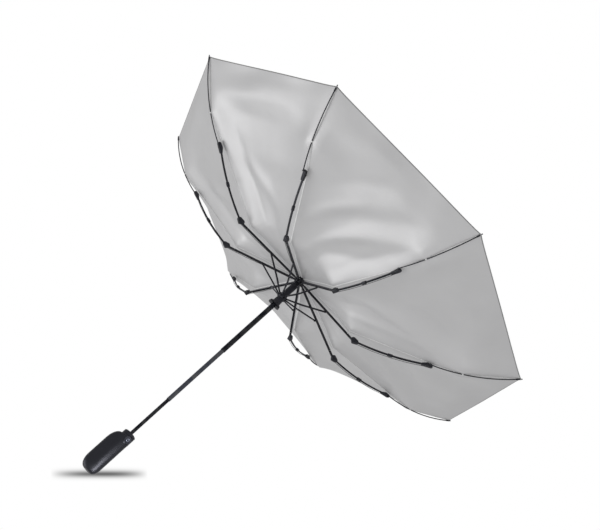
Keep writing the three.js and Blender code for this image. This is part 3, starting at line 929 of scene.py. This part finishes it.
def on_button(part):
    """A part made round Z from the shaft's middle, turned outwards to the button's place."""
    vertices, faces = part
    lifted = Matrix.Translation((0, 0, BUTTON["height"]))
    spin = Matrix.Rotation(math.radians(BUTTON["azimuth"]), 4, "Z") @ Matrix.Rotation(math.pi / 2, 4, "Y")
    spin = lifted @ spin
    return [tuple(spin @ Vector(vertex)) for vertex in vertices], faces


def handle_body(levels=48, steps=96):
    """The body from foot to shoulder, with a soft ridge and beside it a shallow scoop for the fingers."""
    spin = Matrix.Rotation(math.radians(HANDLE["azimuth"]), 3, "Z")
    shoulder, slope_start, side = HANDLE["shoulder"], HANDLE["slope_start"], HANDLE["side"]
    rings = []
    for level in range(levels + 1):
        height = shoulder * (1 - math.cos(math.pi * level / levels)) / 2
        slope = max(0.0, (height - slope_start) / (shoulder - slope_start))
        bulge = side + (HANDLE["reach"] - side) * math.sqrt(max(0.0, 1 - slope ** 2.4))
        right = bulge * rounded_in(FOOT["right"], height, HANDLE["long_foot_rise"])
        left = side * rounded_in(FOOT["left"], height, HANDLE["foot_rise"])
        deep = side * rounded_in(FOOT["deep"], height, HANDLE["foot_rise"])
        grip = math.exp(-((height - GRIP["middle"]) / GRIP["reach"]) ** 4)
        ring = []
        for step in range(steps):
            turn = 2 * math.pi * step / steps
            x = (right - left) / 2 + (right + left) / 2 * squarer(math.cos(turn))
            swell = sum(size * math.exp(-((x - place) / width) ** 2) for size, place, width in SWELLS)
            y = deep * squarer(math.sin(turn)) + swell * grip * math.sin(turn)
            ring.append(tuple(spin @ Vector((x, y, height))))
        rings.append(ring)
    return lofted(rings)


def combined(base, tools):
    """A part after exact booleans with other parts, as vertices and faces."""
    def as_object(part):
        return added("boolean", solid_mesh("boolean", [part], Matrix.Identity(3)))

    target = as_object(base)
    helpers = []
    for operation, part in tools:
        helpers.append(as_object(part))
        modifier = target.modifiers.new("cut", "BOOLEAN")
        modifier.operation = operation
        modifier.solver = "EXACT"
        modifier.object = helpers[-1]
    bpy.context.view_layer.update()
    mesh = target.evaluated_get(bpy.context.evaluated_depsgraph_get()).to_mesh()
    part = [tuple(vertex.co) for vertex in mesh.vertices], [tuple(face.vertices) for face in mesh.polygons]
    for made in (target, *helpers):
        bpy.data.objects.remove(made)
    return part


def add_handle():
    """The handle's shell with its bore and the button's pocket, the button and its mark."""
    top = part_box("handle_grip")[1].z
    neck = HANDLE["neck"]
    profile = [(neck + over, height) for over, height in NECK_FOOT + GROOVE]
    profile = [(NECK_CORE, NECK_BASE), *profile, (neck, top - NECK_EDGE), (neck - NECK_EDGE, top)]
    profile.append((NECK_CORE, top))
    bore_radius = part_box("inner_tube")[1].x + CLEARANCE
    bore = revolved(((bore_radius, BORE_FLOOR), (bore_radius, top + 0.005)), 48)
    wide = BUTTON["radius"] + CLEARANCE
    pocket = on_button(revolved(((wide, BUTTON["seat"] - CLEARANCE), (wide, POCKET_END))))
    cuts = [("UNION", revolved(profile)), ("DIFFERENCE", bore), ("DIFFERENCE", pocket)]
    grip = make_piece("handle_shell", [combined(handle_body(), cuts)], blacks["soft_touch"], "soft_touch")
    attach(grip, "handle")
    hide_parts("handle_grip")

    radius, back, face = BUTTON["radius"], BUTTON["seat"] + 0.002, BUTTON["face"]
    dished = [(radius + inwards, face + sunk) for inwards, sunk in DISH]
    middle = face + DISH_MIDDLE[1]
    dished = [(BUTTON_CORE, back), (radius, back), *dished, (DISH_MIDDLE[0], middle), (BUTTON_CORE, middle)]
    cap = make_piece("button_cap", [on_button(revolved(dished))], blacks["button"], "button")
    size, place = MARK["radius"], face - MARK["sunk"]
    circle = [(size * math.cos(a), size * math.sin(a), place) for a in np.linspace(0, 2 * math.pi, 49)]
    ring = on_button(bar(circle, (0, 0, 1), MARK["width"], MARK["thick"]))
    mark = make_piece("button_ring", [ring], blacks["spring_steel"], "spring_steel")
    for piece in (cap, mark):
        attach(piece, "button")
    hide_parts("push_button")


add_handle()


# Lights. The key and the fill stand at (right, up, back) metres from the crown, in the camera's directions.

KEY = {"place": (-2.1, -0.2, 0.7), "size": 1.8, "power": 18}
FILL = {"place": (0.6, -1.2, 2.0), "size": 1.6, "power": 9}
STRIP = {
    "height": 0.05, "direction": (0.38, -0.38, 0.84), "distance": 0.18,
    "width": 0.05, "length": 0.16, "power": 0.3,
}
AMBIENT = 0.50  # strength of the white surroundings as a light; the camera sees them at 1


def area_light(name, place, target, size, power):
    data = bpy.data.lights.new(name, "AREA")
    data.shape = "SQUARE"
    data.size = size
    data.energy = power
    light = added(name, data)
    light.location = place
    light.rotation_mode = "QUATERNION"
    light.rotation_quaternion = (place - target).to_track_quat("Z", "Y")
    return light


def add_lights():
    """A key, a fill, and a strip that stands so close beside the handle that it hardly lights the rest."""
    crown = Vector((0, 0, CROWN))
    for name, light in (("key", KEY), ("fill", FILL)):
        right, up, back = light["place"]
        place = crown + RIGHT * right + UP * up + BACK * back
        area_light(name, place, crown, light["size"], light["power"])
    centre = Vector((0, 0, STRIP["height"]))
    right, up, back = STRIP["direction"]
    out = (BACK * back + RIGHT * right + UP * up).normalized()
    place = centre + out * STRIP["distance"]
    strip = area_light("handle_strip", place, centre, STRIP["width"], STRIP["power"])
    strip.data.shape = "RECTANGLE"
    strip.data.size_y = STRIP["length"]
    along = (Vector((0, 0, 1)) - out * out.z).normalized()
    strip.rotation_quaternion = turned(along.cross(out), along, out).to_quaternion()
    strip.visible_camera = False


def make_world():
    world = bpy.data.worlds.new("studio")
    bpy.context.scene.world = world
    tree = Tree(world)
    seen = tree.add("ShaderNodeLightPath").outputs["Is Camera Ray"]
    strength = tree.ramp(seen, 0.0, 1.0, AMBIENT, 1.0)
    background = tree.add("ShaderNodeBackground", {"Color": grey(1.0), "Strength": strength})
    tree.add("ShaderNodeOutputWorld", {"Surface": background.outputs[0]})


make_world()
bpy.context.scene.view_settings.view_transform = "Standard"
add_lights()


# Floor: a level pale plane, seen only from above, and a card behind the handle's foot that carries its
# contact shadow, seen only from near the main view.

SHADOW = {
    "width": 0.094, "depth": 0.0075, "darkness": 0.88,  # width and depth are half sizes of the soft oval
    "right": 0.014, "down": 0.0195, "behind": 0.06, "card": 4,  # the card is this many half sizes across
}
FLOOR = {"size": 12, "drop": 0.001, "shadow": (0.012, 0.10), "fade": (0.6, 3.0)}  # ranges are from the shaft


def card(name, centre, right, up, width, height):
    corners = [
        centre + right * (x * width / 2) + up * (y * height / 2)
        for x, y in ((-1, -1), (1, -1), (1, 1), (-1, 1))
    ]
    mesh = bpy.data.meshes.new(name)
    mesh.from_pydata([tuple(corner) for corner in corners], [], [(0, 1, 2, 3)])
    mesh.uv_layers.new(name="UVMap").data.foreach_set("uv", (0, 0, 1, 0, 1, 1, 0, 1))
    plane = added(name, mesh)
    return plane


def shadow_material():
    """A soft oval shadow, clear elsewhere, shown only to a camera that looks nearly along the main view."""
    tree = new_material("contact_shadow")
    split = tree.add("ShaderNodeSeparateXYZ", {"Vector": tree.add("ShaderNodeTexCoord").outputs["UV"]})
    x, y = (tree.product(tree.math("SUBTRACT", place, 0.5), SHADOW["card"]) for place in split.outputs[:2])
    narrowed = tree.math("SUBTRACT", 1.0, tree.math("POWER", tree.math("ABSOLUTE", x), 3.0))
    across = tree.math("MAXIMUM", narrowed, 0.0)
    along = tree.math("EXPONENT", tree.product(y, y, -1.1))
    facing = tree.vector("DOT_PRODUCT", tree.add("ShaderNodeNewGeometry").outputs["Incoming"], tuple(BACK))
    camera = tree.add("ShaderNodeLightPath").outputs["Is Camera Ray"]
    shade = tree.add("ShaderNodeEmission", {"Color": grey(0.03), "Strength": 1.0}).outputs[0]
    clear = tree.add("ShaderNodeBsdfTransparent").outputs[0]
    dark = tree.product(across, along, SHADOW["darkness"], tree.ramp(facing, 0.93, 0.97), camera)
    mix = tree.add("ShaderNodeMixShader", {0: dark, 1: clear, 2: shade})
    return tree.finish(mix)


def floor_material():
    """Plain and pale, seen only by a camera above it, with a soft contact shadow and no horizon."""
    tree = new_material("floor")
    place = tree.add("ShaderNodeTexCoord").outputs["Object"]
    away = tree.vector("LENGTH", place)
    level = tree.ramp(tree.noise(place, 3.0), 0.3, 0.7, 0.80, 0.82)
    shade = tree.ramp(away, *FLOOR["shadow"], 0.45, 1.0)
    glow = tree.add("ShaderNodeEmission", {"Color": grey(1.0), "Strength": tree.product(level, shade)})
    clear = tree.add("ShaderNodeBsdfTransparent").outputs[0]
    front = tree.math("SUBTRACT", 1.0, tree.add("ShaderNodeNewGeometry").outputs["Backfacing"])
    camera = tree.add("ShaderNodeLightPath").outputs["Is Camera Ray"]
    seen = tree.product(front, camera, tree.ramp(away, *FLOOR["fade"], 1.0, 0.0))
    mix = tree.add("ShaderNodeMixShader", {0: seen, 1: clear, 2: glow.outputs[0]})
    return tree.finish(mix)


def make_floor():
    across, ahead = Vector((1, 0, 0)), Vector((0, 1, 0))
    floor = card("floor", Vector((0, 0, -FLOOR["drop"])), across, ahead, FLOOR["size"], FLOOR["size"])
    floor.data.materials.append(floor_material())
    low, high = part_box("handle_grip")
    foot = Vector(((low.x + high.x) / 2, (low.y + high.y) / 2, 0))
    place = foot - BACK * SHADOW["behind"] - UP * SHADOW["down"] + RIGHT * SHADOW["right"]
    width, height = SHADOW["card"] * SHADOW["width"], SHADOW["card"] * SHADOW["depth"]
    shadow = card("contact_shadow", place, RIGHT, UP, width, height)
    shadow.data.materials.append(shadow_material())


make_floor()
